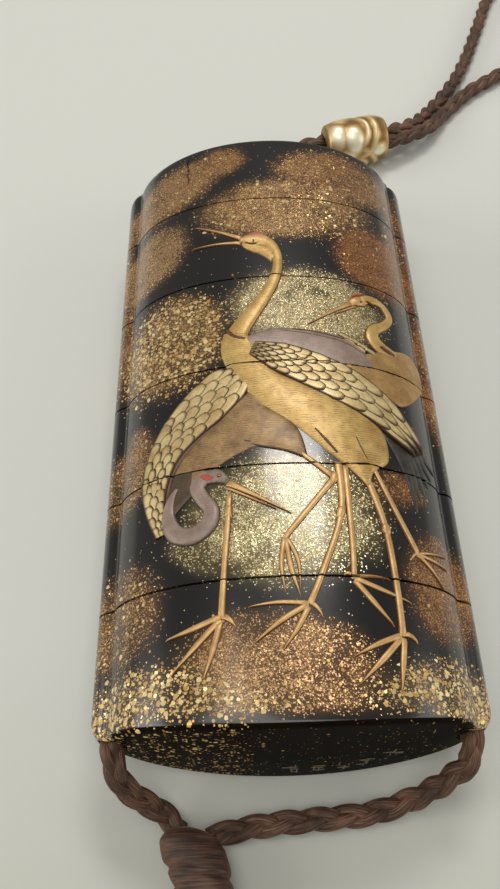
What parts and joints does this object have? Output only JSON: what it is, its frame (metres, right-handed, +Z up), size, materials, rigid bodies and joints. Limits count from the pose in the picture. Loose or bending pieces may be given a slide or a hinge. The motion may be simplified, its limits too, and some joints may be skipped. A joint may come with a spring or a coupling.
{
  "type": "inro case",
  "caption": "Lens-section lacquered case of stacked trays under a domed lid, strung on a silk cord with a gilt bead, with low relief cranes on the front.",
  "frame": {"origin": "on the surface that the case lies on, below the middle of the case, its cord, bead and knot left out", "axes": "+X to the right and +Y toward the lid as seen from the front, +Z up out of the decorated front"},
  "size_m": [0.0957, 0.2106, 0.0232],
  "materials": {
    "lacquer": "polished black lacquer on thin wood, with gold dust and raised gold",
    "silk": "plaited brown silk",
    "gilt": "chased and gilt, worn bright on the high places"
  },
  "bodies": {
    "root": {"lid": "lacquer", "case_1": "lacquer", "case_2": "lacquer", "case_3": "lacquer", "case_4": "lacquer", "case_5": "lacquer", "cord": "silk", "knot": "silk", "bead": "gilt"}
  },
  "joints": []
}
